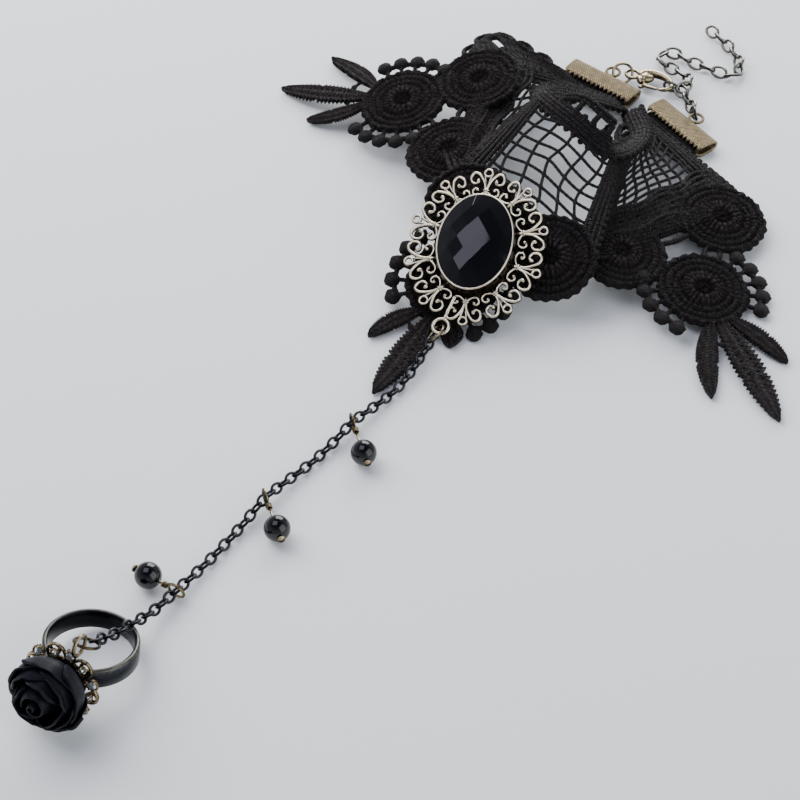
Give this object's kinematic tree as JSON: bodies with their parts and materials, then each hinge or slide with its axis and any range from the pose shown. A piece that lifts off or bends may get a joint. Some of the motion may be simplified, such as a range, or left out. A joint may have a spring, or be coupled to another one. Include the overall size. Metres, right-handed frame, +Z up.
{
  "type": "lace wrist cuff with hand chain and finger ring",
  "caption": "Black guipure lace wrist cuff lying clasped, with an oval filigree brooch, ribbon clamps, extender chain and a beaded hand chain to a rose finger ring.",
  "frame": {"origin": "middle of the footprint, on the floor it lies on", "axes": "+Z up; the clasp lies towards +Y and the finger ring towards -X -Y"},
  "size_m": [0.1732, 0.2294, 0.0261],
  "materials": {
    "black_lace": "matt cotton guipure lace",
    "pale_bronze": "pale antique bronze plating",
    "bronze": "antique bronze plating",
    "dark_bronze": "dark antique plating, rubbed bright on the edges",
    "black_metal": "blue-black plating",
    "black_stone": "polished, opaque",
    "gunmetal": "smooth gunmetal plating",
    "black_satin": "blue-black satin"
  },
  "bodies": {
    "cuff": {"lace_cuff": "black_lace", "ribbon_clamp_left": "pale_bronze", "ribbon_clamp_right": "pale_bronze", "clasp_jump_ring": "bronze", "clasp_body": "bronze", "extender_chain": "dark_bronze", "oval_setting": "pale_bronze", "oval_stone": "black_stone", "setting_jump_ring": "bronze", "hand_chain": "black_metal", "bead_1": "black_stone", "bead_2": "black_stone", "bead_3": "black_stone", "bead_pin_1": "bronze", "bead_pin_2": "bronze", "bead_pin_3": "bronze", "ring_jump_ring": "bronze", "finger_ring": "gunmetal", "satin_rose": "black_satin"},
    "lever": {"clasp_lever": "bronze"}
  },
  "joints": [
    {"name": "clasp_lever_hinge", "type": "hinge", "parent": "cuff", "child": "lever", "pos_m": [0.05792, 0.08923, 0.00237], "axis": [0, 0, 1], "range_deg": [0, 22], "stiffness_Nm_per_rad": 0.0004, "springref_deg": -17.19}
  ]
}
